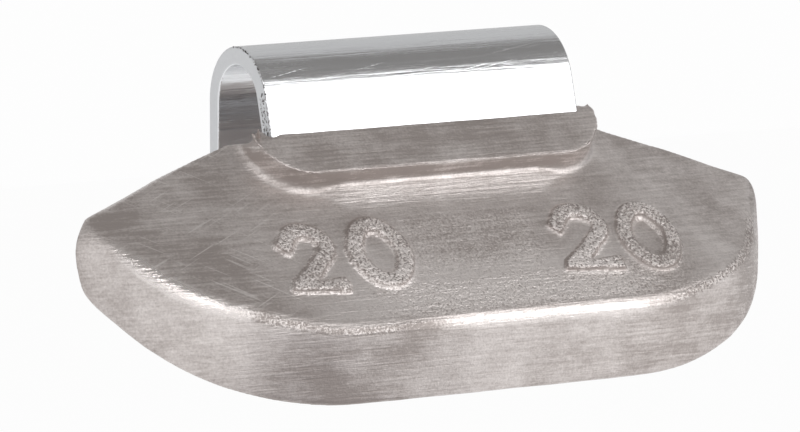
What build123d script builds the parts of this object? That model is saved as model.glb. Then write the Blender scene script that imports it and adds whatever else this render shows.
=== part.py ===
"""Clip-on wheel balance weight: a lead casting held on the rim flange by a spring steel clip.

The frame is the weight as it sits at the top of a wheel: +X runs along the rim, +Z points
outwards from the hub and -Y faces away from the wheel. The origin is on the axis of the
clip's arch, in the middle of the casting. All sizes are in millimetres and degrees.
"""

import os
from math import atan2, cos, hypot, radians, sin, tan

from build123d import *

# Clip: one bent strip
clip_width = 18.0
clip_shift = -0.35
strip_thickness = 0.95
arch_inner_radius = 2.12
front_leg_lean = 8.0
rear_leg_lean = 9.0
rear_leg_end_z = -6.1
rear_corner_radius = 1.8
tang_half_width = 6.6
tang_shoulder_z = -2.4
tang_end_z = -7.6
strip_edge_radius = 0.1

# Clip: holes the lead runs through
anchor_hole_radius = 1.2
anchor_hole_half_pitch = 3.6
anchor_hole_z = -5.2

# Casting: outline on the sloping underside
under_tilt = 45.0
under_depth = 5.25
base_drop = 16.55
base_half = 10.8
base_radius = 12.0
cheek_half = 17.2
cheek_drop = 13.5
cheek_radius = 11.0
edge_share = 0.98
base_share = 0.42
side_half = 21.3
side_drop = 5.3
side_rise = 6.0
rim_draft = 24.0
casting_depth = 7.5
under_edge_radius = 0.25

# Casting: marked face and its two wings
face_tilt = 38.0
face_y = -8.45
face_z = -10.10
wing_turn = 18.3
wing_x = 19.31
left_wing_tilt = 43.6
left_wing_z = -4.58
right_wing_tilt = 45.5
right_wing_z = -5.22
crease_radius = 22.0
face_edge_radius = 0.8

# Casting: boss around the front leg of the clip
boss_half = 10.3
boss_foot = 7.0
boss_length = 14.0
boss_corner_radius = 3.2
boss_height = 1.25
boss_root = 2.2
boss_draft = 4.0
boss_foot_radius = 0.5

# Casting: slot for the rim flange
slot_y = -1.44
crown_z = -1.87
crown_stock = 3.0
roof_edge_depth = 0.12

# Casting: ends
half_length = 20.2
end_top_z = -6.3
end_top_run = 0.9
end_top_rise = 2.0
end_top_radius = 1.6
end_bottom_z = -7.9
end_bottom_run = 3.4
end_bottom_fall = 9.0
end_bottom_radius = 6.0

# How far a cutting shape runs past what it cuts
overrun = 1.0

# Places that follow from the sizes
arch_radius = arch_inner_radius + strip_thickness / 2
leg_root = arch_radius / cos(radians(front_leg_lean))
leg_y = crown_z * tan(radians(front_leg_lean)) - leg_root
tang_reach = leg_root - tang_end_z * tan(radians(front_leg_lean)) + strip_thickness + overrun
shoulder_drop = tang_shoulder_z - tang_end_z + overrun

# Corners of the outline: a radius gives way where the edge that two corners share is short
base_edge = hypot(cheek_half - base_half, base_drop - cheek_drop)
base_turn = atan2(base_drop - cheek_drop, cheek_half - base_half)
cheek_turn = atan2(cheek_drop - side_drop, side_half - cheek_half) - base_turn
base_corner = min(base_radius, base_edge * base_share / tan(base_turn / 2))
cheek_corner = min(cheek_radius, base_edge * (edge_share - base_share) / tan(cheek_turn / 2))

# Clip
with BuildPart() as clip:
    with BuildSketch(Plane.YZ.offset(clip_shift)) as strip_section:
        with BuildLine() as strip_line:
            arch = CenterArc((0, 0), arch_radius, rear_leg_lean, 180 - front_leg_lean - rear_leg_lean)
            rear_drop = (arch @ 0).Y - rear_leg_end_z
            Line(arch @ 0, arch @ 0 + Vector(rear_drop * tan(radians(rear_leg_lean)), -rear_drop))
            front_drop = (arch @ 1).Y - tang_end_z
            Line(arch @ 1, arch @ 1 + Vector(-front_drop * tan(radians(front_leg_lean)), -front_drop))
        trace(line_width=strip_thickness)
    extrude(amount=clip_width / 2, both=True)
    toe_edges = clip.edges().filter_by(lambda e: e.length < 1.2 * strip_thickness and e.center().Y > 0)
    fillet(toe_edges.group_by(Axis.Z)[0], rear_corner_radius)
    side_edges = clip.faces().filter_by(Axis.X).edges()
    fillet(side_edges.filter_by(lambda e: e.length > 1.2 * strip_thickness), strip_edge_radius)
    with BuildSketch(Plane.XZ) as tang_shoulders:
        with Locations((clip_shift - tang_half_width, tang_shoulder_z)):
            Rectangle(clip_width, shoulder_drop, align=(Align.MAX, Align.MAX))
        with Locations((clip_shift + tang_half_width, tang_shoulder_z)):
            Rectangle(clip_width, shoulder_drop, align=(Align.MIN, Align.MAX))
    extrude(amount=tang_reach, mode=Mode.SUBTRACT)
    with BuildSketch(Plane.XZ) as anchor_holes:
        with Locations((clip_shift, anchor_hole_z)):
            with GridLocations(2 * anchor_hole_half_pitch, 0, 2, 1):
                Circle(anchor_hole_radius)
    extrude(amount=tang_reach, mode=Mode.SUBTRACT)
clip.part.label = "rim_clip"

# Planes of the casting
across = Vector(0, -cos(radians(under_tilt)), sin(radians(under_tilt)))
under = Plane(origin=across * -under_depth, x_dir=(1, 0, 0), z_dir=across)
face_dir = Vector(0, -cos(radians(face_tilt)), sin(radians(face_tilt)))
face = Plane(origin=(0, face_y, face_z), x_dir=(1, 0, 0), z_dir=face_dir)
slot = Plane(origin=(0, slot_y, 0), z_dir=(0, -1, 0))
crown = Plane(origin=(0, 0, crown_z))


def wing_plane(side, tilt, height):
    """The plane of one wing, which falls away from the marked face and meets the slot at this height."""
    turn = radians(wing_turn)
    wing_dir = Vector(side * sin(turn), -cos(turn), tan(radians(tilt)) * cos(turn))
    return Plane(origin=(side * wing_x, slot_y, height), z_dir=wing_dir)


wings = [
    wing_plane(1, right_wing_tilt, right_wing_z),
    wing_plane(-1, left_wing_tilt, left_wing_z),
]


def is_marked(surface):
    """True for the marked face, its wings and the creases between them."""
    return surface.normal_at().dot(face_dir) > 0.9


def is_rim(surface):
    """True for the tapered wall round the lower edge, up to the straight sides."""
    off_draft = surface.normal_at().dot(across) - sin(radians(rim_draft))
    return abs(off_draft) < 0.01 and under.to_local_coords(surface.center()).Y < -side_drop


def is_boss_side(surface):
    """True for the steep sides of the boss."""
    return surface.normal_at().dot(face_dir) < 0.5 and face.to_local_coords(surface.center()).Z > 0


# Casting
with BuildPart() as body:
    with BuildSketch(under) as outline:
        with BuildLine():
            Polyline(
                (-base_half, -base_drop),
                (base_half, -base_drop),
                (cheek_half, -cheek_drop),
                (side_half, -side_drop),
                (side_half, side_rise),
                (-side_half, side_rise),
                (-side_half, -side_drop),
                (-cheek_half, -cheek_drop),
                close=True,
            )
        make_face()
        fillet(outline.vertices().filter_by(lambda v: abs(abs(v.X) - base_half) < 0.01), base_corner)
        fillet(outline.vertices().filter_by(lambda v: abs(abs(v.X) - cheek_half) < 0.01), cheek_corner)
    extrude(amount=casting_depth, taper=rim_draft)

    # Marked face, its wings and the soft creases between them
    split(bisect_by=face, keep=Keep.BOTTOM)
    for wing in wings:
        split(bisect_by=wing, keep=Keep.BOTTOM)
    split(bisect_by=crown.offset(crown_stock), keep=Keep.BOTTOM)
    panels = body.faces().filter_by(is_marked).sort_by(Axis.X)
    fillet(panels[1].edges() & (panels[0].edges() + panels[2].edges()), crease_radius)

    # Edges round the rim
    marked = body.faces().filter_by(is_marked)
    fillet(marked.edges() & body.faces().filter_by(is_rim).edges(), face_edge_radius)
    underside = body.faces().filter_by(lambda f: f.normal_at().dot(across) < -0.99)
    fillet(underside.edges() & body.faces().filter_by(is_rim).edges(), under_edge_radius)

    # Boss
    with BuildSketch(face.offset(-boss_root)) as boss_outline:
        with Locations((clip_shift, boss_foot)):
            Rectangle(2 * boss_half, boss_length, align=(Align.CENTER, Align.MIN))
        fillet(boss_outline.vertices().group_by(Axis.Y)[0], boss_corner_radius)
    extrude(amount=boss_root + boss_height, taper=boss_draft)
    boss_sides = body.faces().filter_by(is_boss_side)
    fillet(body.faces().filter_by(is_marked).edges() & boss_sides.edges(), boss_foot_radius)

    # Slot for the flange, and the room under the arch
    split(bisect_by=slot, keep=Keep.TOP)
    for wing in wings:
        roof_dir = (wing.z_dir - slot.z_dir).normalized()
        roof_edge = Plane(origin=wing.origin - roof_dir * roof_edge_depth, z_dir=roof_dir)
        split(bisect_by=roof_edge, keep=Keep.BOTTOM)
    with BuildSketch(Plane.YZ) as slot_room:
        with Locations((leg_y, crown_z)):
            Rectangle(slot_y - leg_y + overrun, crown_stock + overrun, align=(Align.MIN, Align.MIN))
    extrude(amount=side_half, both=True, mode=Mode.SUBTRACT)

    # Rounded ends
    with BuildSketch(Plane.XZ) as ends:
        with BuildLine():
            Polyline(
                (half_length, end_top_z),
                (half_length, end_bottom_z),
                (half_length - end_bottom_run, end_bottom_z - end_bottom_fall),
                (-half_length + end_bottom_run, end_bottom_z - end_bottom_fall),
                (-half_length, end_bottom_z),
                (-half_length, end_top_z),
                (-half_length + end_top_run, end_top_z + end_top_rise),
                (-half_length + end_top_run, crown_z + crown_stock),
                (half_length - end_top_run, crown_z + crown_stock),
                (half_length - end_top_run, end_top_z + end_top_rise),
                close=True,
            )
        make_face()
        fillet(ends.vertices().filter_by(lambda v: abs(v.Y - end_bottom_z) < 0.01), end_bottom_radius)
        fillet(ends.vertices().filter_by(lambda v: abs(v.Y - end_top_z) < 0.01), end_top_radius)
    extrude(amount=base_drop, both=True, mode=Mode.INTERSECT)

    # Seat of the clip, with the lead left standing in its holes
    add(clip.part, mode=Mode.SUBTRACT)
body.part.label = "weight_body"

os.makedirs("parts", exist_ok=True)
export_step(clip.part, "parts/rim_clip.step")
export_step(body.part, "parts/weight_body.step")
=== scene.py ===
"""Dresses a clip-on wheel balance weight: a cast lead body with raised gram marks and a zinc plated clip.

The frame is in metres. +X runs along the rim, +Z points away from the hub and -Y is the marked side.
"""

import random
from collections import namedtuple
from math import cos, pi, radians, sin, tan

import bpy
from mathutils import Matrix, Quaternion, Vector


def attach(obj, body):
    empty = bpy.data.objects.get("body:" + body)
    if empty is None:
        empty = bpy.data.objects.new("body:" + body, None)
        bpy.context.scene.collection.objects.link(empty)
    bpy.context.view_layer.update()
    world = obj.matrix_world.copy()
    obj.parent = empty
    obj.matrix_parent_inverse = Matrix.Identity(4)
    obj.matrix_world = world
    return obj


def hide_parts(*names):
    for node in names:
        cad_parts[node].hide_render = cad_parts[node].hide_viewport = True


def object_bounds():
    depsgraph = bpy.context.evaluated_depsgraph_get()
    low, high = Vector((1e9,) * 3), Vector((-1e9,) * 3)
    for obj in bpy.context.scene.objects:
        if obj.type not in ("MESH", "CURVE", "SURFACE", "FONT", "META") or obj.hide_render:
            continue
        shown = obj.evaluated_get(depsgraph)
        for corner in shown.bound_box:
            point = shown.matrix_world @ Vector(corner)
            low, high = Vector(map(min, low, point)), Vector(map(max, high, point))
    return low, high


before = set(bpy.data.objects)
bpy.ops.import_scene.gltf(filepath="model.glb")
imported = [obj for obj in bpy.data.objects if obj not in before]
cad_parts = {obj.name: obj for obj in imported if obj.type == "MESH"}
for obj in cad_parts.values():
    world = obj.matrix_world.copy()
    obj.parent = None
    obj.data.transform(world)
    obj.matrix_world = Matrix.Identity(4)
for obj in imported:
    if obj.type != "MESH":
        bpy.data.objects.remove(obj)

bl_info = {
    "name": "Clip-on balance weight",
    "version": (1, 0, 0),
    "blender": (4, 5, 0),
    "location": "View3D > Sidebar > Balance weight",
    "description": "Dresses the casting and the clip of a wheel balance weight and sets up its studio",
    "category": "Add Mesh",
}

MM = 0.001
CAD_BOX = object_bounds()

# Vertices closer than this are one, and heights closer than this are level
WELD = 0.001 * MM
LEVEL = 0.01 * MM

# The marked face leans back by this angle, and its marks are placed along and up it
FACE_TILT = radians(38)
FACE_OUT = Vector((0, -cos(FACE_TILT), sin(FACE_TILT)))
FACE_UP = Vector((0, sin(FACE_TILT), cos(FACE_TILT)))

# A plane whose normal has more than this share of FACE_OUT is parallel to the marked face
PARALLEL = 0.9999

# Places up the face are counted from here, just above its lower edge
UP_ZERO = -13.16 * MM

# The clip's front leg leans away from the wheel by this angle
LEG_LEAN = radians(8)

# Rounds of smoothing: of the whole skin, of each pass of wear and of the two tips
SOFTEN_ROUNDS = 4
WEAR_ROUNDS = 45
TIP_ROUNDS = 200

# Size of the lumps in the skin and of the grit
LUMP = 3.0 * MM
GRIT = 0.2 * MM

# The share of the skin's faces that thinning keeps, and the angle from which an edge looks sharp
THIN_SHARE = 0.55
SHARP_ANGLE = radians(32)

# What the mesh stores at each vertex for the lead's material: grit, dulling with painted shade and painted
# highlight, and burnish with a painted highlight
ZONES = ("sandy", "dull_and_painted_shading", "burnished_and_painted_highlight")

# The outline of the boss's top, in metres
BossEdge = namedtuple("BossEdge", "left right front rear corner")

# A place on the skin: millimetres along, up and out of the marked face, tilt to it, and depth along Y
Place = namedtuple("Place", "along up out tilt depth")


def linear(code):
    """A colour written as sRGB hex, as linear values."""
    parts = [int(code[i:i + 2], 16) / 255 for i in (1, 3, 5)]
    return [p / 12.92 if p <= 0.04045 else ((p + 0.055) / 1.055) ** 2.4 for p in parts]


def flats():
    """The heights, along the face's normal, of the marked face and of the boss's top, parallel to it."""
    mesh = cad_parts["weight_body"].data
    heights = [p.center.dot(FACE_OUT) for p in mesh.polygons if p.normal.dot(FACE_OUT) > PARALLEL]
    return min(heights), max(heights)


FACE_HEIGHT, TOP_HEIGHT = flats()
BOSS_RISE = TOP_HEIGHT - FACE_HEIGHT


def boss_edge():
    """The outline of the boss's top: its sides, its front and rear up the face, and its corner radius."""
    side_width = 0.5 * MM
    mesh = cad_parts["weight_body"].data
    corners = [v.co for v in mesh.vertices if abs(v.co.dot(FACE_OUT) - TOP_HEIGHT) < LEVEL]
    left = min(c.x for c in corners)
    right = max(c.x for c in corners)
    front = min(c.dot(FACE_UP) for c in corners)
    rear = max(c.dot(FACE_UP) for c in corners if c.x < left + side_width)
    straight = [c.x for c in corners if c.dot(FACE_UP) < front + LEVEL]
    return BossEdge(left, right, front, rear, min(straight) - left)


BOSS = boss_edge()


class CastingSettings(bpy.types.PropertyGroup):
    """Sizes and colours of the lead casting."""

    relief: bpy.props.FloatProperty(
        name="Mark relief",
        description="How far the gram marks stand out of the face",
        default=0.25 * MM,
        unit="LENGTH",
    )
    stroke: bpy.props.FloatProperty(
        name="Mark stroke",
        description="Width of a mark's stroke where it meets the face",
        default=1.0 * MM,
        unit="LENGTH",
    )
    digit_height: bpy.props.FloatProperty(
        name="Mark height",
        description="Height of a gram mark on the face",
        default=4.3 * MM,
        unit="LENGTH",
    )
    burr: bpy.props.FloatProperty(
        name="Burr",
        description="Thickness of the burr along the front of the boss",
        default=0.11 * MM,
        unit="LENGTH",
    )
    skin: bpy.props.FloatProperty(
        name="Skin",
        description="Edge length of the casting's skin before it is thinned",
        default=0.105 * MM,
        unit="LENGTH",
    )
    uneven: bpy.props.FloatProperty(
        name="Unevenness",
        description="How far the cast skin swells and sinks",
        default=0.07 * MM,
        unit="LENGTH",
    )
    pits: bpy.props.FloatProperty(
        name="Pits",
        description="Depth of the grit on the marks and along the rim",
        default=0.085 * MM,
        unit="LENGTH",
    )
    lead: bpy.props.FloatVectorProperty(
        name="Lead",
        description="Wiped lead",
        subtype="COLOR",
        default=linear("#e9e2df"),
    )
    # Painted shade also pulls the lead's tone towards this colour
    lead_dark: bpy.props.FloatVectorProperty(
        name="Dull lead",
        description="Lead in the hollows of the streaks, where it has dulled",
        subtype="COLOR",
        default=linear("#aea5a1"),
    )
    lead_pit: bpy.props.FloatVectorProperty(
        name="Pitted lead",
        description="Lead at the bottom of the grit's pits",
        subtype="COLOR",
        default=linear("#6e6662"),
    )
    lead_bright: bpy.props.FloatVectorProperty(
        name="Scratched lead",
        description="Fresh lead in a scratch",
        subtype="COLOR",
        default=linear("#f4efec"),
    )


class ClipSettings(bpy.types.PropertyGroup):
    """Burr and colours of the clip."""

    burr: bpy.props.FloatProperty(
        name="Burr",
        description="Thickness of the burr along the sheared left end",
        default=0.12 * MM,
        unit="LENGTH",
    )
    zinc: bpy.props.FloatVectorProperty(
        name="Zinc",
        description="Bright zinc plate",
        subtype="COLOR",
        default=linear("#e6e7e9"),
    )
    # Painted shade in the folds of the torn burr
    painted_fold_shade: bpy.props.FloatVectorProperty(
        name="Fold",
        description="Dark folds of the torn burr",
        subtype="COLOR",
        default=linear("#5a5452"),
    )
    cut_edge: bpy.props.FloatVectorProperty(
        name="Cut edge",
        description="Sheared ends of the strip under the plate",
        subtype="COLOR",
        default=linear("#dcdddf"),
    )


class StageSettings(bpy.types.PropertyGroup):
    """Camera, light and floor."""

    azimuth: bpy.props.FloatProperty(
        name="Azimuth",
        description="Camera's turn round the weight from straight in front",
        subtype="ANGLE",
        default=radians(-29.3),
    )
    elevation: bpy.props.FloatProperty(
        name="Elevation",
        description="Camera's height above the horizon",
        subtype="ANGLE",
        default=radians(1.0),
    )
    roll: bpy.props.FloatProperty(
        name="Roll",
        description="Camera's turn about its own axis",
        subtype="ANGLE",
        default=radians(4.4),
    )
    distance: bpy.props.FloatProperty(
        name="Distance",
        description="Camera's distance from the point it looks at",
        default=338 * MM,
        unit="LENGTH",
    )
    aim: bpy.props.FloatVectorProperty(
        name="Aim",
        description="Point in the middle of the picture",
        subtype="TRANSLATION",
        default=(-1.863 * MM, -2.542 * MM, -6.167 * MM),
    )
    lens: bpy.props.FloatProperty(
        name="Lens",
        description="Focal length in millimetres on a 36 mm wide sensor",
        default=299.0,
    )
    surround: bpy.props.FloatProperty(
        name="Surround",
        description="Strength of the soft light from all round",
        default=0.4,
    )
    key_power: bpy.props.FloatProperty(
        name="Key",
        description="Power of the softbox at the right",
        default=0.75,
        unit="POWER",
    )
    side_power: bpy.props.FloatProperty(
        name="Side",
        description="Power of the small softbox at the left",
        default=0.2,
        unit="POWER",
    )
    floor_gap: bpy.props.FloatProperty(
        name="Floor gap",
        description="How far the floor lies below the weight",
        default=14 * MM,
        unit="LENGTH",
    )


def add_node(tree, kind, inputs=None, **settings):
    """Adds a node with its settings, and gives its inputs values or links them to other nodes' sockets."""
    made = tree.nodes.new(kind)
    for name, value in settings.items():
        setattr(made, name, value)
    for name, value in (inputs or {}).items():
        if isinstance(value, bpy.types.NodeSocket):
            tree.links.new(value, made.inputs[name])
        else:
            made.inputs[name].default_value = value
    return made


def new_material(name):
    """An empty node material, with its tree and its output."""
    material = bpy.data.materials.new(name)
    material.use_nodes = True
    material.node_tree.nodes.clear()
    output = material.node_tree.nodes.new("ShaderNodeOutputMaterial")
    return material, material.node_tree, output


def millimetres(tree):
    """A piece's own coordinates in millimetres, so that the scale of a pattern follows from real sizes."""
    place = add_node(tree, "ShaderNodeTexCoord").outputs["Object"]
    scale = (1 / MM, 1 / MM, 1 / MM)
    return add_node(tree, "ShaderNodeMapping", {"Vector": place, "Scale": scale}).outputs[0]


def lead_material(settings):
    """Cast lead, tumbled and wiped along its length: a soft grey metal with streaks, grit and scratches."""
    material, tree, output = new_material("cast_lead")
    in_mm = millimetres(tree)
    normal = add_node(tree, "ShaderNodeTexCoord").outputs["Normal"]
    sandy, dull_and_painted_shading, burnished_and_painted_highlight = [
        add_node(tree, "ShaderNodeAttribute", attribute_name=zone).outputs["Fac"] for zone in ZONES
    ]

    # A scale is one over a size in millimetres. The streaks of the wiping are 4 mm by 0.12 mm and its
    # short lines 0.6 mm by 0.1 mm. Blotches, where the skin froze first, are 1 to 4 mm, and grit is 0.12 mm
    patterns = []
    for scale, detail, roughness in (
        ((0.25, 0.4, 8.0), 3.0, 0.6),
        ((1.6, 1.6, 9.0), 2.0, 0.6),
        ((0.24, 0.24, 0.24), 4.0, 0.6),
        ((8.0, 8.0, 8.0), 2.0, 0.7),
    ):
        stretched = add_node(tree, "ShaderNodeMapping", {"Vector": in_mm, "Scale": scale}).outputs[0]
        noise = add_node(
            tree,
            "ShaderNodeTexNoise",
            {"Vector": stretched, "Scale": 1.0, "Detail": detail, "Roughness": roughness},
        )
        patterns.append(noise.outputs["Fac"])
    streaks, lines, blotches, grain = patterns

    # Scratches 3 mm long in two directions across the wiping, drawn wider than real ones so that they show
    scratches = 0.0
    for turn, shift in ((24, 0), (-32, 40)):
        slant = add_node(
            tree,
            "ShaderNodeMapping",
            {"Vector": in_mm, "Location": (shift, 0, 0), "Rotation": (0, radians(turn), 0)},
        ).outputs[0]
        stretched = add_node(
            tree, "ShaderNodeMapping", {"Vector": slant, "Scale": (0.35, 0.35, 13.0)}
        ).outputs[0]
        peaks = add_node(
            tree, "ShaderNodeTexNoise", {"Vector": stretched, "Scale": 1.0, "Detail": 0.0}
        ).outputs["Fac"]
        cuts = add_node(
            tree, "ShaderNodeMapRange", {"Value": peaks, "From Min": 0.7, "From Max": 0.78}
        ).outputs[0]
        scratches = add_node(
            tree, "ShaderNodeMath", {0: scratches, 1: cuts}, operation="MAXIMUM"
        ).outputs[0]

    # They lie on the left wing, where X is below -9 mm, and only where the skin faces upwards
    along = add_node(tree, "ShaderNodeSeparateXYZ", {0: in_mm}).outputs["X"]
    rise = add_node(tree, "ShaderNodeSeparateXYZ", {0: normal}).outputs["Z"]
    for value, none, full in ((along, -9.0, -12.0), (rise, 0.3, 0.6)):
        mask = add_node(
            tree, "ShaderNodeMapRange", {"Value": value, "From Min": none, "From Max": full}
        ).outputs[0]
        scratches = add_node(
            tree, "ShaderNodeMath", {0: scratches, 1: mask}, operation="MULTIPLY"
        ).outputs[0]

    # Tone of the wiped skin, from 0 where it is dull to 1 where it is bright
    tone = 0.0
    for pattern, weight in ((streaks, 0.28), (lines, 0.36), (blotches, 0.85), (grain, 0.5)):
        tone = add_node(
            tree, "ShaderNodeMath", {0: pattern, 1: weight, 2: tone}, operation="MULTIPLY_ADD"
        ).outputs[0]
    tone = add_node(
        tree, "ShaderNodeMapRange", {"Value": tone, "From Min": 0.71, "From Max": 1.21}
    ).outputs[0]

    # Where the lead is dulled or painted with shade, more of its streaks show, and sandy lead shows more of
    # its grit
    streaky = add_node(
        tree, "ShaderNodeMath", {0: blotches, 1: 0.9, 2: streaks}, operation="MULTIPLY_ADD"
    ).outputs[0]
    contrasts = []
    for pattern, middle, zone in ((streaky, 0.95, dull_and_painted_shading), (grain, 0.5, sandy)):
        swing = add_node(tree, "ShaderNodeMath", {0: pattern, 1: middle}, operation="SUBTRACT").outputs[0]
        limited = add_node(tree, "ShaderNodeMath", {0: swing, 1: zone}, operation="MULTIPLY").outputs[0]
        contrasts.append(limited)
    streaks_in_dull_and_shaded_zones, specks = contrasts
    # Painted shade darkens the tone where the dulling zone is above 0; painted highlights lighten it below 0
    # and where the rim is burnished
    for change, weight in ((dull_and_painted_shading, -0.6), (streaks_in_dull_and_shaded_zones, 2.4), (burnished_and_painted_highlight, 1.0), (specks, 5.5)):
        tone = add_node(
            tree, "ShaderNodeMath", {0: change, 1: weight, 2: tone}, operation="MULTIPLY_ADD"
        ).outputs[0]

    # Colour: wiped lead, then dark pits where it is sandy, then fresh lead in the scratches
    deep = add_node(tree, "ShaderNodeMath", {0: sandy, 1: 2.0}, operation="POWER").outputs[0]
    pits = add_node(
        tree, "ShaderNodeMapRange", {"Value": grain, "From Min": 0.46, "From Max": 0.34, "To Max": 0.55}
    ).outputs[0]
    pits = add_node(tree, "ShaderNodeMath", {0: pits, 1: deep}, operation="MULTIPLY").outputs[0]
    fresh = add_node(tree, "ShaderNodeMath", {0: scratches, 1: 0.45}, operation="MULTIPLY").outputs[0]
    colour = (*settings.lead_dark, 1)
    for share, shade in ((tone, settings.lead), (pits, settings.lead_pit), (fresh, settings.lead_bright)):
        colour = add_node(
            tree, "ShaderNodeMix", {"Factor": share, "A": colour, "B": (*shade, 1)}, data_type="RGBA"
        ).outputs["Result"]

    # Satin where it is bright, a little rougher where it is sandy, and polished where it is burnished
    rough = add_node(
        tree, "ShaderNodeMapRange", {"Value": tone, "To Min": 0.5, "To Max": 0.38}
    ).outputs[0]
    for zone, weight in ((sandy, 0.08), (burnished_and_painted_highlight, -0.16)):
        rough = add_node(
            tree, "ShaderNodeMath", {0: zone, 1: weight, 2: rough}, operation="MULTIPLY_ADD"
        ).outputs[0]

    # Fine relief of the same patterns
    grit = add_node(tree, "ShaderNodeMath", {0: sandy, 1: 2.4, 2: 0.5}, operation="MULTIPLY_ADD").outputs[0]
    height = streaks
    for pattern, weight in ((lines, 0.5), (grain, grit), (scratches, -0.15)):
        height = add_node(
            tree, "ShaderNodeMath", {0: pattern, 1: weight, 2: height}, operation="MULTIPLY_ADD"
        ).outputs[0]
    bump = add_node(
        tree, "ShaderNodeBump", {"Strength": 0.8, "Distance": 0.035 * MM, "Height": height}
    ).outputs[0]
    shader = add_node(
        tree,
        "ShaderNodeBsdfPrincipled",
        {"Base Color": colour, "Metallic": 0.75, "Roughness": rough, "Normal": bump},
    )
    tree.links.new(shader.outputs[0], output.inputs[0])
    return material


def zinc_material(settings):
    """Bright zinc plate on rolled spring steel: a near mirror with faint lines and dull sheared ends."""
    material, tree, output = new_material("zinc_plate")
    in_mm = millimetres(tree)
    normal = add_node(tree, "ShaderNodeTexCoord").outputs["Normal"]

    # Rolling lines about 0.15 mm apart and several millimetres long
    along = add_node(tree, "ShaderNodeMapping", {"Vector": in_mm, "Scale": (0.15, 5.0, 5.0)}).outputs[0]
    lines = add_node(
        tree, "ShaderNodeTexNoise", {"Vector": along, "Scale": 1.0, "Detail": 4.0, "Roughness": 0.6}
    ).outputs["Fac"]

    # Single scratches about 0.08 mm wide and 5 mm long, at a slight angle to the rolling
    slant = add_node(
        tree, "ShaderNodeMapping", {"Vector": in_mm, "Rotation": (0, radians(9), 0)}
    ).outputs[0]
    stretched = add_node(
        tree, "ShaderNodeMapping", {"Vector": slant, "Scale": (0.22, 0.5, 11.0)}
    ).outputs[0]
    peaks = add_node(
        tree, "ShaderNodeTexNoise", {"Vector": stretched, "Scale": 1.0, "Detail": 0.0}
    ).outputs["Fac"]
    scratches = add_node(
        tree, "ShaderNodeMapRange", {"Value": peaks, "From Min": 0.76, "From Max": 0.82}
    ).outputs[0]
    height = add_node(
        tree, "ShaderNodeMath", {0: scratches, 1: -0.18, 2: lines}, operation="MULTIPLY_ADD"
    ).outputs[0]

    # The sheared ends face along X
    facing = add_node(tree, "ShaderNodeSeparateXYZ", {0: normal}).outputs["X"]
    sheared = add_node(tree, "ShaderNodeMath", {0: facing}, operation="ABSOLUTE").outputs[0]
    sheared = add_node(
        tree, "ShaderNodeMapRange", {"Value": sheared, "From Min": 0.8, "From Max": 0.95}
    ).outputs[0]
    colour = add_node(
        tree,
        "ShaderNodeMix",
        {"Factor": sheared, "A": (*settings.zinc, 1), "B": (*settings.cut_edge, 1)},
        data_type="RGBA",
    ).outputs["Result"]
    polish = add_node(
        tree,
        "ShaderNodeMapRange",
        {"Value": lines, "From Min": 0.3, "From Max": 0.7, "To Min": 0.16, "To Max": 0.3},
    ).outputs[0]
    rough = add_node(
        tree, "ShaderNodeMath", {0: sheared, 1: 0.3, 2: polish}, operation="MULTIPLY_ADD"
    ).outputs[0]
    bump = add_node(
        tree, "ShaderNodeBump", {"Strength": 0.8, "Distance": 0.03 * MM, "Height": height}
    ).outputs[0]
    shader = add_node(
        tree,
        "ShaderNodeBsdfPrincipled",
        {"Base Color": colour, "Metallic": 0.95, "Roughness": rough, "Normal": bump},
    )
    tree.links.new(shader.outputs[0], output.inputs[0])
    return material


def torn_material(settings):
    """Spring steel torn by the shear at the clip's end: crinkled, with painted shade in its folds and bright
    plate on its ridges.
    """
    material, tree, output = new_material("torn_steel")

    # Folds about 0.15 mm apart
    folds = add_node(
        tree,
        "ShaderNodeTexNoise",
        {"Vector": millimetres(tree), "Scale": 6.5, "Detail": 2.0, "Roughness": 0.6},
    ).outputs["Fac"]
    # Painted shade: the folds take the dark colour and the ridges the plate's
    ridges = add_node(
        tree, "ShaderNodeMapRange", {"Value": folds, "From Min": 0.44, "From Max": 0.56}
    ).outputs[0]
    colour = add_node(
        tree,
        "ShaderNodeMix",
        {"Factor": ridges, "A": (*settings.painted_fold_shade, 1), "B": (*settings.zinc, 1)},
        data_type="RGBA",
    ).outputs["Result"]
    shader = add_node(
        tree, "ShaderNodeBsdfPrincipled", {"Base Color": colour, "Metallic": 0.8, "Roughness": 0.4}
    )
    tree.links.new(shader.outputs[0], output.inputs[0])
    return material


def select_only(*objects):
    """Selects these objects and nothing else, and makes the first one active."""
    bpy.ops.object.select_all(action="DESELECT")
    for item in objects:
        item.select_set(True)
    bpy.context.view_layer.objects.active = objects[0]


def apply_modifiers(piece):
    """Applies all of a piece's modifiers in order."""
    select_only(piece)
    for modifier in list(piece.modifiers):
        bpy.ops.object.modifier_apply(modifier=modifier.name)


def on_face(along, up, height=0.0):
    """The matrix that stands a flat shape on the marked face, at a place along and up it."""
    spot = Vector((along, 0, 0)) + FACE_UP * (UP_ZERO + up) + FACE_OUT * (FACE_HEIGHT + height)
    turn = Matrix((Vector((1, 0, 0)), FACE_UP, FACE_OUT)).transposed().to_4x4()
    return Matrix.Translation(spot) @ turn


def flat_profile(name, outline):
    """A closed flat section that is swept along a line."""
    curve = bpy.data.curves.new(name, "CURVE")
    curve.dimensions = "2D"
    line = curve.splines.new("POLY")
    line.points.add(len(outline) - 1)
    for point, (across, up) in zip(line.points, outline):
        point.co = (across, up, 0, 1)
    line.use_cyclic_u = True
    profile = bpy.data.objects.new(name, curve)
    bpy.context.collection.objects.link(profile)
    return profile


def stroke_profile(stroke, relief):
    """The section of a raised stroke: soft sides, a flat top and a root below the face."""
    half = stroke / 2
    shoulder = half * 0.88
    shoulder_height = relief * 0.55
    top_half = 0.36 * stroke
    top_steps = 4
    outline = [
        (-half, -relief),
        (-half, 0),
        (-shoulder, shoulder_height),
        *[(i / top_steps * top_half, relief) for i in range(-top_steps, top_steps + 1)],
        (shoulder, shoulder_height),
        (half, 0),
        (half, -relief),
    ]
    return flat_profile("stroke_profile", outline)


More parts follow.
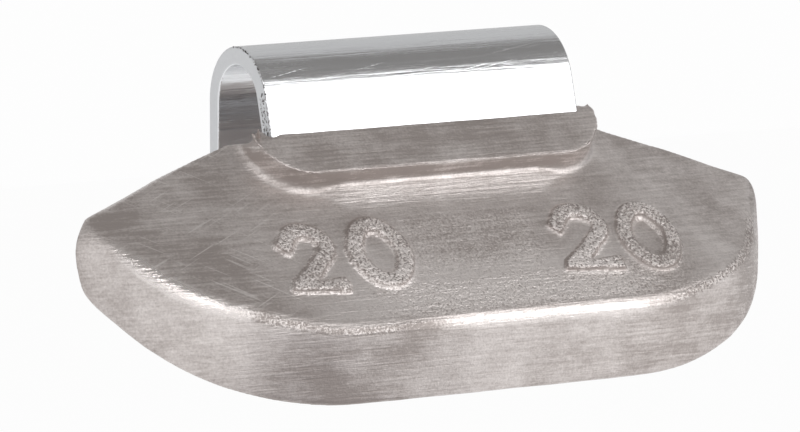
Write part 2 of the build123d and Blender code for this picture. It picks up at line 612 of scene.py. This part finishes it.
def curve_to_mesh(name, curve):
    """Makes a curve a mesh object, with its doubles merged and its faces pointing outwards."""
    piece = bpy.data.objects.new(name, curve)
    bpy.context.collection.objects.link(piece)
    select_only(piece)
    bpy.ops.object.convert(target="MESH")
    bpy.ops.object.mode_set(mode="EDIT")
    bpy.ops.mesh.select_all(action="SELECT")
    bpy.ops.mesh.remove_doubles(threshold=WELD)
    bpy.ops.mesh.normals_make_consistent(inside=False)
    bpy.ops.object.mode_set(mode="OBJECT")
    return bpy.context.object


def sweep(name, points, handles, profile, closed, resolution=20, shares=None):
    """Sweeps a section along a line of points, each with its share of the section's size, as a mesh."""
    curve = bpy.data.curves.new(name, "CURVE")
    curve.dimensions = "3D"
    curve.twist_mode = "Z_UP"
    curve.resolution_u = resolution
    curve.bevel_mode = "OBJECT"
    curve.bevel_object = profile
    curve.use_fill_caps = True
    line = curve.splines.new("BEZIER")
    line.bezier_points.add(len(points) - 1)
    shares = shares or [1] * len(points)
    for knot, place, handle, share in zip(line.bezier_points, points, handles, shares):
        knot.co = (*place, 0)
        knot.radius = share
        knot.handle_left_type = handle
        knot.handle_right_type = handle
    line.use_cyclic_u = closed
    return curve_to_mesh(name, curve)


def add_two(profile, height, width):
    """The figure two, standing on its baseline, with its left edge at zero."""
    knots = [(0.13, 0.66), (0.5, 0.91), (0.87, 0.69), (0.62, 0.4), (0.14, 0.09), (0.97, 0.08)]
    handles = ["AUTO", "AUTO", "AUTO", "AUTO", "VECTOR", "VECTOR"]
    places = [(x * width, y * height) for x, y in knots]
    return sweep("figure_two", places, handles, profile, closed=False)


def add_nought(profile, height, width):
    """The figure nought, standing on its baseline, with its left edge at zero."""
    knots = [(0.5, 0.09), (0.86, 0.3), (0.86, 0.7), (0.5, 0.91), (0.14, 0.7), (0.14, 0.3)]
    places = [(x * width, y * height) for x, y in knots]
    return sweep("figure_nought", places, ["AUTO"] * len(knots), profile, closed=True)


def gram_marks(settings):
    """The gram number at both ends of the face, as raised figures that are then fused with the casting."""
    profile = stroke_profile(settings.stroke, settings.relief)

    # Each figure's place along and up the face and its width, in millimetres
    figures = [
        (add_two, -11.3, 0.7, 3.35),
        (add_nought, -7.1, 0.7, 3.1),
        (add_two, 4.3, 0.5, 3.65),
        (add_nought, 8.5, 0.26, 3.1),
    ]
    marks = []
    for make, along, up, width in figures:
        mark = make(profile, settings.digit_height, width * MM)
        mark.data.transform(on_face(along * MM, up * MM))
        marks.append(mark)
    bpy.data.objects.remove(profile)
    return marks


def foot_ramp():
    """The short ramp that bends up from the face and leads to the straight front of the boss."""
    reach = 2.1 * MM
    bend_radius = 3.0 * MM
    bend_steps = 6
    slope = radians(15)
    root = 0.3 * MM
    bite = 0.05 * MM
    overlap = 0.1 * MM
    back = 0.6 * MM
    sink = 0.5 * MM
    fade = 3.0 * MM
    inset = BOSS.corner * 0.35
    wall = BOSS.front - UP_ZERO - bite

    # The section, from its root below the face up the bend and into the boss
    section = [(wall + back, -root), (wall - reach, -root)]
    for step in range(bend_steps + 1):
        turn = slope * step / bend_steps
        section.append((wall - reach + bend_radius * sin(turn), bend_radius * (1 - cos(turn))))
    run = wall + overlap - section[-1][0]
    section.append((wall + overlap, section[-1][1] + run * tan(slope)))
    section.append((wall + back, section[-1][1]))

    # It is drawn out along the boss, and sinks into the face at both ends
    bpy.ops.mesh.primitive_circle_add(vertices=len(section), fill_type="NGON")
    ramp = bpy.context.object
    ramp.name = "foot_ramp"
    for knot, (up, out) in zip(ramp.data.vertices, section):
        knot.co = on_face(BOSS.left + inset, up, out - sink).translation
    bpy.ops.object.mode_set(mode="EDIT")
    bpy.ops.mesh.select_all(action="SELECT")
    level = BOSS.right - BOSS.left - 2 * inset - 2 * fade
    for run, rise in ((fade, sink), (level, 0), (fade, -sink)):
        step = Vector((run, 0, 0)) + FACE_OUT * rise
        bpy.ops.mesh.extrude_region_move(TRANSFORM_OT_translate={"value": step})
    bpy.ops.mesh.select_all(action="SELECT")
    bpy.ops.mesh.normals_make_consistent(inside=False)
    bpy.ops.object.mode_set(mode="OBJECT")
    return ramp


def thread(name, path, thickness):
    """A thin round thread through a line of places, each with its own share of the thickness."""
    curve = bpy.data.curves.new(name, "CURVE")
    curve.dimensions = "3D"
    curve.bevel_depth = thickness / 2
    curve.bevel_resolution = 1
    curve.use_fill_caps = True
    line = curve.splines.new("POLY")
    line.points.add(len(path) - 1)
    for point, (place, share) in zip(line.points, path):
        point.co = (*place, 1)
        point.radius = share
    return curve_to_mesh(name, curve)


def boss_outline(outside):
    """Places along and up the face, this far outside the boss's top, from its left side to its right."""
    side_steps = 12
    corner_steps = 44
    front_steps = 130
    short_of_rear = 0.6 * MM
    radius = BOSS.corner + outside
    stop = BOSS.rear - short_of_rear
    bend = BOSS.front + BOSS.corner
    left_bend = BOSS.left + BOSS.corner
    right_bend = BOSS.right - BOSS.corner
    turns = [pi / 2 * step / corner_steps for step in range(corner_steps)]
    places = []
    for step in range(side_steps):
        places.append((BOSS.left - outside, stop + (bend - stop) * step / side_steps))
    for turn in turns:
        places.append((left_bend - radius * cos(turn), bend - radius * sin(turn)))
    for step in range(front_steps):
        places.append((left_bend + (right_bend - left_bend) * step / front_steps, BOSS.front - outside))
    for turn in turns:
        places.append((right_bend + radius * sin(turn), bend - radius * cos(turn)))
    for step in range(side_steps):
        places.append((BOSS.right + outside, bend + (stop - bend) * step / side_steps))
    return places


def boss_rim():
    """The band that squares off the rounded edge of the boss's top, where the lead was trimmed."""
    half = 0.27 * MM
    depth = 0.45 * MM
    outside = 0.13 * MM
    end_share = 0.15
    taper_steps = 16
    profile = flat_profile("rim_profile", [(-half, -depth), (-half, 0), (half, 0), (half, -depth)])
    places = [(along, up - UP_ZERO) for along, up in boss_outline(outside)]
    last = len(places) - 1
    shares = [min(1, end_share + min(i, last - i) / taper_steps) for i in range(len(places))]
    handles = ["VECTOR"] * len(places)
    rim = sweep("boss_rim", places, handles, profile, closed=False, resolution=1, shares=shares)
    bpy.data.objects.remove(profile)
    rim.data.transform(on_face(0, 0, BOSS_RISE))
    return rim


def boss_burr(settings):
    """The ragged burr that the trimming left along the front and the corners of the boss's top."""
    outside = 0.38 * MM
    front_share = 0.7
    swell_step = 0.35
    thinnest = 0.2
    thickest = 1.3
    jump_share = 0.35

    # Places of the outline that have no burr, from its two ends
    skip_left = 14
    skip_right = 24
    chance = random.Random(5)
    swell = 1.0
    path = []
    for along, up in boss_outline(outside)[skip_left:-skip_right]:
        share = 1.0 if along < BOSS.left + BOSS.corner else front_share
        swell = min(max(swell + chance.uniform(-swell_step, swell_step), thinnest), thickest)
        jump = settings.burr * jump_share * share
        spot = on_face(
            along + chance.uniform(-jump, jump),
            up - UP_ZERO + chance.uniform(-jump, jump),
            BOSS_RISE + chance.uniform(-jump, jump * 0.6),
        ).translation
        path.append((spot, share * swell))
    return thread("boss_burr", path, settings.burr)


def clip_edge(inside):
    """Depths and heights on the clip's left end, this far inside its skin: round the arch, down the leg."""
    arch_steps = 70
    leg_steps = 44
    leg_reach = 2.4 * MM
    radius = max(v.co.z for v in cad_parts["rim_clip"].data.vertices) - inside
    places = []
    for step in range(arch_steps):
        turn = (pi / 2 - LEG_LEAN) * step / arch_steps
        places.append((-radius * sin(turn), radius * cos(turn)))
    leg_depth, leg_height = places[-1]
    for step in range(leg_steps + 1):
        drop = leg_reach * step / leg_steps
        places.append((leg_depth - drop * sin(LEG_LEAN), leg_height - drop * cos(LEG_LEAN)))
    return places


def clip_burr(settings):
    """The crinkled burr that the shear left on the clip's left end: along its edge, and across the leg."""
    proud = 0.02 * MM
    jump_share = 0.4
    thinnest = 0.4
    thickest = 1.1
    end = min(v.co.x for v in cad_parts["rim_clip"].data.vertices)
    chance = random.Random(11)
    threads = []

    # How far each thread lies inside the clip's skin in millimetres, its first place and its thickness
    for inside, first, share in ((0.04, 0, 0.8), (0.3, 66, 1.3), (0.6, 72, 1.2)):
        jump = settings.burr * jump_share * share
        path = []
        for depth, height in clip_edge(inside * MM)[first:]:
            spot = (
                end + proud + chance.uniform(-jump, jump) / 2,
                depth + chance.uniform(-jump, jump),
                height + chance.uniform(-jump, jump),
            )
            path.append((spot, share * chance.uniform(thinnest, thickest)))
        threads.append(thread("clip_burr", path, settings.burr))
    select_only(*threads)
    bpy.ops.object.join()
    return threads[0]


def flash_spike(settings):
    """The small spike of flash that stands up at the rear end of the boss's left side."""
    short_of_rear = 0.7 * MM
    up = BOSS.rear - UP_ZERO - short_of_rear

    # From root to tip: millimetres to the right of the boss's side and above its top, and thickness
    steps = [
        (0.06, -0.45, 3.6),
        (0.02, -0.15, 2.6),
        (-0.06, 0.1, 1.5),
        (-0.16, 0.32, 0.8),
        (-0.24, 0.5, 0.25),
    ]
    path = []
    for right, rise, share in steps:
        spot = on_face(BOSS.left + right * MM, up, BOSS_RISE + rise * MM).translation
        path.append((spot, share))
    return thread("flash_spike", path, settings.burr)


def between(value, low, high):
    """How far a value lies between two limits, from 0 to 1, with soft ends."""
    part = min(max((value - low) / (high - low), 0), 1)
    return part * part * (3 - 2 * part)


def band(value, start, full, fade, end):
    """1 inside a band and 0 outside it: it starts, is full, fades and ends at these limits."""
    return between(value, start, full) * (1 - between(value, fade, end))


def skin_places(piece):
    """Where each vertex of a piece lies on the marked face, and how its skin is turned to it."""
    return [
        Place(
            along=vertex.co.x / MM,
            up=(vertex.co.dot(FACE_UP) - UP_ZERO) / MM,
            out=(vertex.co.dot(FACE_OUT) - FACE_HEIGHT) / MM,
            tilt=vertex.normal.dot(FACE_OUT),
            depth=vertex.co.y / MM,
        )
        for vertex in piece.data.vertices
    ]


# Limits in the functions below are millimetres on the marked face, and a tilt of 1 is parallel to it


def sandiness(place, relief):
    """How gritty the casting is: on its marks, low on the face, on the bare middle and along the rim."""
    along, up, out, tilt = place[:4]
    flat = between(tilt, 0.9, 0.97)
    on_marks = band(out, relief * 0.45, relief * 0.75, relief * 1.8, relief * 2.2)
    on_marks *= band(up, -0.4, 0.2, 5.2, 5.6)
    low_band = flat * band(up, -1.5, -0.8, 0.4, 1.6) * band(along, -9, -4, 8, 13)
    bare_middle = flat * band(up, -0.2, 0.6, 4.4, 5.4) * band(along, -4.5, -3, 3, 4.5)
    rim_ends = 0.1 + 0.55 * band(along, -15, -13.5, -6, -3) + 0.9 * between(along, 9, 12)
    rolled = rim_ends * band(tilt, 0.6, 0.7, 0.92, 0.955) * (1 - between(up, 3.5, 5.0))
    right_wall = band(tilt, 0.2, 0.3, 0.5, 0.6) * between(along, 14.5, 18)
    return max(on_marks, 0.6 * low_band, 0.3 * bare_middle, rolled, 0.35 * right_wall)


def dullness_and_painted_shading(place, relief):
    """How far the tone is darkened, and below 0 lightened: painted shade on the boss's front, on the flanks
    of the marks, on the left wing, on both walls and on the rolled rim, which also has real dull grit;
    darker on the boss's top, the marks and the upper face; below 0 a painted highlight on the foot ramp and
    a lighter tone low in the middle of the face.
    """
    along, up, out, tilt = place[:4]
    boss = BOSS_RISE / MM
    flat = between(tilt, 0.85, 0.93)
    steep = band(tilt, 0, 0.2, 0.5, 0.65)
    rolled = (1 - flat) * (1 - steep)
    below_boss = 1 - between(up, 5.2, 5.6)
    top = flat * between(out, boss * 0.9, boss * 0.97)
    boss_front = (1 - between(tilt, 0.5, 0.65)) * between(out, 0.05, 0.15)
    marks = below_boss * between(out, relief * 0.4, relief * 0.8)
    mark_sides = below_boss * (1 - between(tilt, 0.75, 0.92)) * between(out, 0.03, 0.08)
    upper_face = flat * between(up, 0, 3)
    left_wing = flat * between(-along, 9, 14)
    left_wall = steep * band(-along, 3, 7, 11, 14)
    right_wall = steep * between(along, 2, 8)
    left_roll = rolled * band(-along, 3, 5, 13.5, 15)
    right_roll = rolled * between(along, 10, 13)
    # Painted shade: most on the boss's front, where it dims the highlight of the rounded top edge, then on
    # the mark flanks, the left wing, the walls and the rolled rim, whose real grit is dull too
    dulled_and_painted_shade = max(
        0.35 * top,
        0.9 * boss_front,
        0.2 * marks,
        mark_sides,
        0.2 * upper_face,
        0.45 * left_wing,
        0.4 * left_wall,
        0.3 * right_wall,
        0.6 * left_roll,
        0.5 * right_roll,
    )
    # Painted highlight on the foot ramp below the boss, and a lighter tone low in the middle of the face
    ramp = flat * between(up, 4.8, 5.8) * (1 - between(out, boss * 0.6, boss * 0.8))
    ramp *= 1 - between(abs(along), 5, 10)
    low_face = flat * band(up, -1.5, -0.5, 1, 3) * (1 - between(abs(along), 6, 10))
    return dulled_and_painted_shade - max(0.2 * ramp, 0.9 * low_face)


def burnish_and_painted_highlight(place):
    """How far the casting is rubbed bright on the roll of its rim, near the left tip and less in front: it
    is polished there, and a highlight is painted into its tone.
    """
    rolled = band(place.tilt, 0.56, 0.68, 0.91, 0.96) * (1 - between(place.out, 0, 0.05))
    left_rim = band(-place.along, 13.2, 14.6, 17.6, 19.0)
    front_rim = band(place.along, -5, -2, 7, 10)
    return rolled * max(left_rim, 0.4 * front_rim)


def wornness(place):
    """How far an edge is worn round: most along the left rim, less in front, least on the roof."""
    rolled = band(place.tilt, 0.4, 0.5, 0.96, 0.99) * (1 - between(place.up, 3.5, 5.0))
    left_rim = rolled * between(-place.along, 11, 14)
    front_rim = rolled * (1 - between(place.out, 0, 0.05)) * band(place.along, -6, -3, 8, 11)
    roof = between(place.depth, -2.2, -1.9) * between(abs(place.along), 10.8, 11.4)
    return max(0.8 * left_rim, 0.5 * front_rim, 0.12 * roof)


def plainness(place):
    """The share of the plain skin: least on the marks and the boss, whose edges stay crisp."""
    return 1 - 0.75 * between(place.out, 0.02, 0.1)


def roundness(place):
    """How far a place is rounded off: at the casting's two tips and at the rear corners of its boss."""
    if place.out <= BOSS_RISE / MM / 2:
        return between(abs(place.along), 14.5, 20.2)
    rear = (BOSS.rear - UP_ZERO) / MM
    beside = between(BOSS.left / MM + 1.2 - place.along, 0, 0.6)
    beside += 0.12 * between(place.along - BOSS.right / MM + 1.0, 0, 0.6)
    return beside * between(place.up, rear - 1.6, rear - 0.8)


def add_group(piece, name, values):
    """A vertex group with these shares, which limits a modifier to some places."""
    group = piece.vertex_groups.new(name=name)
    for index, value in enumerate(values):
        if value > 0:
            group.add([index], value, "REPLACE")
    return group.name


def store_zones(piece, relief):
    """Stores on the mesh, where its material reads it, how sandy the lead is, its dulling with painted shade
    and highlight, and its burnish with a painted highlight.
    """
    places = skin_places(piece)
    sandy = [sandiness(place, relief) for place in places]
    dull_and_painted_shading = [dullness_and_painted_shading(place, relief) for place in places]
    burnished_and_painted_highlight = [burnish_and_painted_highlight(place) for place in places]
    for name, values in zip(ZONES, (sandy, dull_and_painted_shading, burnished_and_painted_highlight)):
        piece.data.attributes.new(name, "FLOAT", "POINT")
        piece.data.attributes[name].data.foreach_set("value", values)


def add_displace(piece, name, size, depth, group=""):
    """Moves a piece's skin in and out by a cloudy pattern whose lumps are of this size."""
    clouds = bpy.data.textures.new(name, "CLOUDS")
    clouds.noise_scale = size
    move = piece.modifiers.new(name, "DISPLACE")
    move.texture = clouds
    move.strength = depth
    move.mid_level = 0.5
    move.vertex_group = group


def add_smooth(piece, name, rounds, group=""):
    """Smooths a piece's skin this many times."""
    smooth = piece.modifiers.new(name, "SMOOTH")
    smooth.factor = 0.5
    smooth.iterations = rounds
    smooth.vertex_group = group


class BALANCE_OT_casting(bpy.types.Operator):
    """Makes the lead casting: its skin, its gram marks and the burr on its boss"""

    bl_idname = "balance.casting"
    bl_label = "Lead casting"

    def execute(self, context):
        settings = context.scene.balance_casting
        relief = settings.relief / MM
        piece = bpy.data.objects.new("lead_casting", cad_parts["weight_body"].data.copy())
        context.collection.objects.link(piece)
        piece.data.materials.clear()
        select_only(piece)
        bpy.ops.object.mode_set(mode="EDIT")
        bpy.ops.mesh.select_all(action="SELECT")
        bpy.ops.mesh.remove_doubles(threshold=WELD)
        bpy.ops.object.mode_set(mode="OBJECT")

        # One skin over the casting and what is cast with it
        select_only(piece, foot_ramp(), boss_rim(), *gram_marks(settings))
        bpy.ops.object.join()
        skin = piece.modifiers.new("skin", "REMESH")
        skin.mode = "VOXEL"
        skin.voxel_size = settings.skin
        skin.use_smooth_shade = True
        apply_modifiers(piece)

        # Soft creases, worn edges and rounded tips
        plain = add_group(piece, "plain", [plainness(place) for place in skin_places(piece)])
        add_smooth(piece, "soften", SOFTEN_ROUNDS, plain)
        apply_modifiers(piece)
        for wear in ("first_wear", "second_wear", "third_wear"):
            worn = add_group(piece, wear, [wornness(place) for place in skin_places(piece)])
            add_smooth(piece, wear, WEAR_ROUNDS, worn)
            apply_modifiers(piece)
        tips = add_group(piece, "tips", [roundness(place) for place in skin_places(piece)])
        add_smooth(piece, "rounded_tips", TIP_ROUNDS, tips)
        apply_modifiers(piece)

        # Lumps of the cast skin, and grit
        add_displace(piece, "uneven_skin", LUMP, settings.uneven)
        gritty = add_group(piece, "gritty", [sandiness(place, relief) for place in skin_places(piece)])
        add_displace(piece, "pitted_skin", GRIT, settings.pits, gritty)
        thin = piece.modifiers.new("thin", "DECIMATE")
        thin.ratio = THIN_SHARE
        apply_modifiers(piece)

        select_only(piece, boss_burr(settings), flash_spike(settings))
        bpy.ops.object.join()
        bpy.ops.object.shade_smooth_by_angle(angle=SHARP_ANGLE)
        piece.vertex_groups.clear()
        store_zones(piece, relief)
        piece.data.materials.append(lead_material(settings))
        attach(piece, "root")
        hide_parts("weight_body")
        return {"FINISHED"}


class BALANCE_OT_clip(bpy.types.Operator):
    """Finishes the spring clip: bright zinc plate, and the torn burr on its left end"""

    bl_idname = "balance.clip"
    bl_label = "Spring clip"

    def execute(self, context):
        settings = context.scene.balance_clip
        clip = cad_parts["rim_clip"].data
        clip.materials.clear()
        clip.materials.append(zinc_material(settings))
        burr = clip_burr(settings)
        burr.data.materials.append(torn_material(settings))
        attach(burr, "root")
        return {"FINISHED"}


def seen_white(tree, lit, strength=1.0, share=1.0):
    """Mixes a shader with plain white where the camera, a reflection or a refraction looks at it."""
    path = add_node(tree, "ShaderNodeLightPath")
    looked_at = add_node(
        tree,
        "ShaderNodeMath",
        {0: path.outputs["Is Camera Ray"], 1: path.outputs["Is Glossy Ray"]},
        operation="MAXIMUM",
    ).outputs[0]
    looked_at = add_node(
        tree,
        "ShaderNodeMath",
        {0: looked_at, 1: path.outputs["Is Transmission Ray"]},
        operation="MAXIMUM",
    ).outputs[0]
    part = add_node(tree, "ShaderNodeMath", {0: looked_at, 1: share}, operation="MULTIPLY").outputs[0]
    white = add_node(tree, "ShaderNodeEmission", {"Color": (1, 1, 1, 1), "Strength": strength})
    return add_node(tree, "ShaderNodeMixShader", {0: part, 1: lit, 2: white.outputs[0]}).outputs[0]


def add_card(name, size, place, facing, tint, fade=None):
    """A matt card outside the camera's view that the metal reflects, with a front that may fade to white."""
    bpy.ops.mesh.primitive_plane_add(size=1)
    card = bpy.context.object
    card.name = name
    turn = Vector(facing).to_track_quat("Z", "Y").to_matrix().to_4x4()
    card.data.transform(Matrix.Translation(place) @ turn @ Matrix.Diagonal((*size, 1, 1)))
    material, tree, output = new_material(name)
    glow = add_node(tree, "ShaderNodeEmission", {"Color": (*linear(tint), 1), "Strength": 1.0})
    if fade:
        spot = add_node(tree, "ShaderNodeTexCoord").outputs["Object"]
        depth = add_node(tree, "ShaderNodeSeparateXYZ", {0: spot}).outputs["Y"]
        white = add_node(
            tree, "ShaderNodeMapRange", {"Value": depth, "From Min": fade[0], "From Max": fade[1]}
        ).outputs[0]
        shade = add_node(
            tree,
            "ShaderNodeMix",
            {"Factor": white, "A": (*linear(tint), 1), "B": (1, 1, 1, 1)},
            data_type="RGBA",
        ).outputs["Result"]
        tree.links.new(shade, glow.inputs["Color"])
    tree.links.new(glow.outputs[0], output.inputs[0])
    card.data.materials.append(material)
    card.visible_camera = False
    card.visible_diffuse = False
    card.visible_shadow = False
    return card


def add_softbox(name, place, size, power):
    """A soft rectangular lamp that faces the weight."""
    bpy.ops.object.light_add(type="AREA", location=place)
    lamp = bpy.context.object
    lamp.name = name
    lamp.data.shape = "RECTANGLE"
    lamp.data.size, lamp.data.size_y = size
    lamp.data.energy = power
    lamp.rotation_mode = "QUATERNION"
    lamp.rotation_quaternion = Vector(place).to_track_quat("Z", "Y")
    return lamp


class BALANCE_OT_stage(bpy.types.Operator):
    """Sets the floor, the lamps, the cards, the white surround and the camera"""

    bl_idname = "balance.stage"
    bl_label = "Studio"

    def execute(self, context):
        settings = context.scene.balance_stage
        scene = context.scene
        scene.view_settings.view_transform = "Standard"

        # White surround
        world = bpy.data.worlds.new("white_surround")
        scene.world = world
        world.use_nodes = True
        tree = world.node_tree
        tree.nodes.clear()
        soft = add_node(
            tree, "ShaderNodeBackground", {"Color": (1, 1, 1, 1), "Strength": settings.surround}
        )
        output = tree.nodes.new("ShaderNodeOutputWorld")
        tree.links.new(seen_white(tree, soft.outputs[0], strength=0.985), output.inputs[0])

        # Matt pale floor, which keeps a trace of the weight's shadow
        bpy.ops.mesh.primitive_circle_add(vertices=64, radius=3.0, fill_type="NGON")
        floor = context.object
        floor.name = "floor"
        floor_height = CAD_BOX[0].z - settings.floor_gap
        floor.data.transform(Matrix.Translation((0, 0, floor_height)))
        material, tree, output = new_material("pale_floor")
        lit = add_node(tree, "ShaderNodeBsdfDiffuse", {"Color": (*linear("#f3f3f3"), 1)})
        tree.links.new(seen_white(tree, lit.outputs[0], strength=0.99, share=0.98), output.inputs[0])
        floor.data.materials.append(material)

        # Softboxes, and grey cards that give the metal its darker reflections
        add_softbox("key", (0.22, -0.38, 0.085), (0.42, 0.30), settings.key_power)
        add_softbox("side", (-0.24, -0.28, 0.19), (0.12, 0.08), settings.side_power)
        card_height = floor_height + 2 * MM
        add_card("floor_card", (0.024, 0.032), (-0.008, -0.025, card_height), (0, 0, 1), "#989496")
        add_card("edge_card", (0.5, 0.2), (0.55, 0.05, 0.075), (-1, 0, 0), "#4a4a4c")
        add_card("ceiling_card", (1.2, 0.53), (0.1, -0.22, 0.30), (0, 0, -1), "#868482", (-0.34, -0.46))
        add_card("rear_card", (1.6, 0.62), (0.1, 0.36, 0.30), (0, 0, -1), "#cacaca")
        add_card("back_card", (2.0, 0.50), (0.1, 0.67, 0.10), (0, -1, 0), "#cfcfcf")

        # Camera
        bpy.ops.object.camera_add()
        camera = context.object
        azimuth = settings.azimuth
        level = cos(settings.elevation)
        back = Vector((sin(azimuth) * level, -cos(azimuth) * level, sin(settings.elevation)))
        roll = Quaternion((0, 0, 1), -settings.roll)
        camera.location = Vector(settings.aim) + back * settings.distance
        camera.rotation_mode = "QUATERNION"
        camera.rotation_quaternion = back.to_track_quat("Z", "Y") @ roll
        camera.data.sensor_width = 36
        camera.data.lens = settings.lens
        camera.data.clip_start = 0.01
        camera.data.clip_end = 20
        scene.camera = camera
        return {"FINISHED"}


class BALANCE_PT_panel(bpy.types.Panel):
    """Lists the steps that dress the weight"""

    bl_idname = "BALANCE_PT_panel"
    bl_label = "Balance weight"
    bl_space_type = "VIEW_3D"
    bl_region_type = "UI"
    bl_category = "Balance weight"

    def draw(self, context):
        for step in STEPS:
            self.layout.operator(step.bl_idname)


STEPS = (BALANCE_OT_casting, BALANCE_OT_clip, BALANCE_OT_stage)
CLASSES = (CastingSettings, ClipSettings, StageSettings, *STEPS, BALANCE_PT_panel)


def register():
    for item in CLASSES:
        bpy.utils.register_class(item)
    bpy.types.Scene.balance_casting = bpy.props.PointerProperty(type=CastingSettings)
    bpy.types.Scene.balance_clip = bpy.props.PointerProperty(type=ClipSettings)
    bpy.types.Scene.balance_stage = bpy.props.PointerProperty(type=StageSettings)


def unregister():
    del bpy.types.Scene.balance_stage
    del bpy.types.Scene.balance_clip
    del bpy.types.Scene.balance_casting
    for item in reversed(CLASSES):
        bpy.utils.unregister_class(item)


def main():
    register()
    bpy.ops.balance.casting()
    bpy.ops.balance.clip()
    bpy.ops.balance.stage()


if __name__ == "__main__":
    main()
